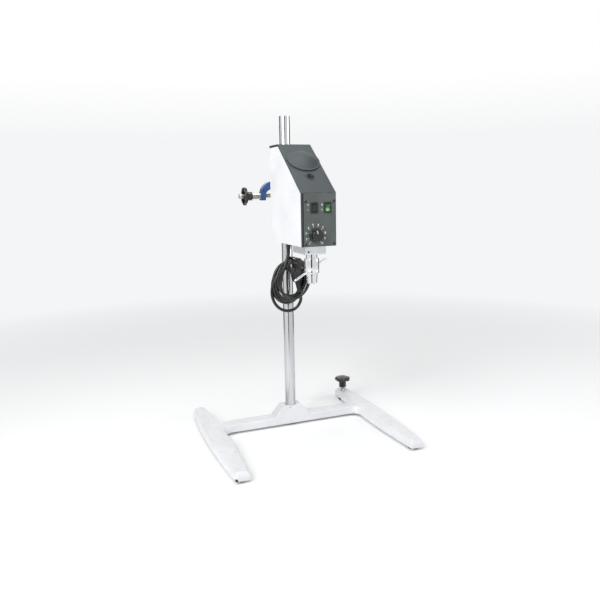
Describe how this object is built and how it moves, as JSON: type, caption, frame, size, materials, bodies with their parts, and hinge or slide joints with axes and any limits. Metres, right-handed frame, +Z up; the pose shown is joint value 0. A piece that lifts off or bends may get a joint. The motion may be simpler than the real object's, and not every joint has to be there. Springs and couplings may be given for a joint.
{
  "type": "overhead stirrer",
  "caption": "Overhead stirrer on an H-shaped stand: a sloped motor head with speed dial, rocker switches, hollow spindle and key chuck, clamped to a vertical rod by a blue boss head.",
  "frame": {"origin": "middle of the stand's footprint, on the ground", "axes": "+Z up along the stand rod; -Y towards the operator, the side that the control panel faces; +X to the operator's right"},
  "size_m": [0.444, 0.406, 0.728],
  "materials": {
    "white_paint": "satin",
    "white_shell": "satin",
    "slate_paint": "matte",
    "slate_plate": "matte",
    "blue_paint": "hammered",
    "stainless": "brushed",
    "zinc": "satin",
    "chrome": "polished",
    "aluminium": "satin",
    "black_plastic": "gloss",
    "dull_plastic": "matte",
    "green_lens": "gloss",
    "rubber": "matte",
    "copper": "satin",
    "board": "satin"
  },
  "bodies": {
    "stand": {"base_casting": "white_paint", "rubber_feet": "rubber", "levelling_foot": "rubber"},
    "levelling": {"levelling_screw": "zinc", "levelling_knob": "black_plastic"},
    "rod": {"stand_rod": "stainless", "rod_screw": "zinc", "rod_washer": "zinc"},
    "boss": {"boss_head": "blue_paint"},
    "rod_clamp": {"rod_clamp_screw": "zinc", "rod_clamp_knob": "black_plastic"},
    "arm_clamp": {"arm_clamp_screw": "zinc", "arm_clamp_knob": "black_plastic"},
    "arm": {"support_arm": "stainless"},
    "head": {"lower_housing": "white_shell", "upper_housing": "white_shell", "front_cover": "slate_paint", "shaft_port": "dull_plastic", "control_plate": "slate_plate", "plate_screws": "black_plastic", "range_switch": "black_plastic", "power_switch": "black_plastic", "speed_potentiometer": "aluminium", "chassis": "aluminium", "chassis_posts": "zinc", "arm_socket": "aluminium", "socket_screws": "zinc", "housing_screws": "zinc", "bearing_block": "aluminium", "block_screws": "zinc", "lower_bearing": "zinc", "upper_bearing": "zinc", "drive_belt": "rubber", "motor_can": "zinc", "circuit_board": "board", "board_posts": "zinc", "board_parts": "dull_plastic", "cord_gland": "dull_plastic", "cord_lead": "rubber", "cord_coil": "rubber", "cord_tie": "dull_plastic", "mains_plug": "dull_plastic"},
    "spindle_set": {"spindle": "stainless", "spindle_pulley": "aluminium", "chuck_body": "chrome"},
    "sleeve": {"chuck_sleeve": "chrome"},
    "jaw_a": {"chuck_jaw_a": "chrome"},
    "jaw_b": {"chuck_jaw_b": "chrome"},
    "jaw_c": {"chuck_jaw_c": "chrome"},
    "key": {"key_shank": "chrome"},
    "cross_bar": {"key_bar": "chrome"},
    "rotor": {"motor_rotor": "copper", "motor_fan": "dull_plastic", "motor_pulley": "aluminium"},
    "dial": {"speed_knob": "black_plastic", "speed_shaft": "zinc"},
    "range_paddle": {"range_rocker": "black_plastic"},
    "power_paddle": {"power_rocker": "green_lens"}
  },
  "joints": [
    {"name": "levelling_turn", "type": "hinge", "parent": "stand", "child": "levelling", "pos_m": [0.191, 0.171, 0.03], "axis": [0, 0, 1], "range_deg": [-720, 720]},
    {"name": "rod_swivel", "type": "hinge", "parent": "stand", "child": "rod", "pos_m": [0, 0.063, 0.3], "axis": [0, 0, 1], "range_deg": [-180, 180]},
    {"name": "height_slide", "type": "slide", "parent": "rod", "child": "boss", "axis": [0, 0, 1], "range_m": [-0.22, 0.12]},
    {"name": "rod_clamp_turn", "type": "hinge", "parent": "boss", "child": "rod_clamp", "pos_m": [0.04, 0.063, 0.552], "axis": [1, 0, 0], "range_deg": [-720, 720]},
    {"name": "arm_clamp_turn", "type": "hinge", "parent": "boss", "child": "arm_clamp", "pos_m": [-0.08, 0.063, 0.552], "axis": [1, 0, 0], "range_deg": [-720, 720]},
    {"name": "arm_slide", "type": "slide", "parent": "boss", "child": "arm", "axis": [0, -1, 0], "range_m": [-0.015, 0.06]},
    {"name": "head_tilt", "type": "hinge", "parent": "arm", "child": "head", "pos_m": [-0.0225, 0, 0.552], "axis": [0, 1, 0], "range_deg": [-45, 45]},
    {"name": "spindle_spin", "type": "hinge", "parent": "head", "child": "spindle_set", "pos_m": [-0.0225, -0.143, 0.45], "axis": [0, 0, 1], "continuous": true},
    {"name": "motor_spin", "type": "hinge", "parent": "head", "child": "rotor", "pos_m": [-0.0225, -0.047, 0.5], "axis": [0, 0, 1], "continuous": true},
    {"name": "sleeve_turn", "type": "hinge", "parent": "spindle_set", "child": "sleeve", "pos_m": [-0.0225, -0.143, 0.41], "axis": [0, 0, 1], "range_deg": [0, 2880]},
    {"name": "jaw_a_slide", "type": "slide", "parent": "spindle_set", "child": "jaw_a", "axis": [-0.1429, -0.0636, -0.9877], "range_m": [0, 0.02]},
    {"name": "jaw_b_slide", "type": "slide", "parent": "spindle_set", "child": "jaw_b", "axis": [0.1266, -0.092, -0.9877], "range_m": [0, 0.02]},
    {"name": "jaw_c_slide", "type": "slide", "parent": "spindle_set", "child": "jaw_c", "axis": [0.0164, 0.1556, -0.9877], "range_m": [0, 0.02]},
    {"name": "key_pull", "type": "slide", "parent": "spindle_set", "child": "key", "axis": [0.1045, 0.9945, 0], "range_m": [0, 0.03]},
    {"name": "cross_bar_slide", "type": "slide", "parent": "key", "child": "cross_bar", "axis": [0.8341, -0.0877, 0.5446], "range_m": [-0.048, 0.02]},
    {"name": "speed_turn", "type": "hinge", "parent": "head", "child": "dial", "pos_m": [-0.0295, -0.183, 0.4775], "axis": [0, 1, 0], "range_deg": [-123, 160]},
    {"name": "range_rock", "type": "hinge", "parent": "head", "child": "range_paddle", "pos_m": [-0.0319, -0.182, 0.53], "axis": [1, 0, 0], "range_deg": [-12, 0]},
    {"name": "power_rock", "type": "hinge", "parent": "head", "child": "power_paddle", "pos_m": [-0.0037, -0.182, 0.53], "axis": [1, 0, 0], "range_deg": [-12, 0]}
  ],
  "couplings": [
    {"joint": "motor_spin", "follows": "spindle_spin", "ratio": 3},
    {"joint": "jaw_a_slide", "follows": "sleeve_turn", "m_per_rad": 0.000398},
    {"joint": "jaw_b_slide", "follows": "sleeve_turn", "m_per_rad": 0.000398},
    {"joint": "jaw_c_slide", "follows": "sleeve_turn", "m_per_rad": 0.000398}
  ]
}
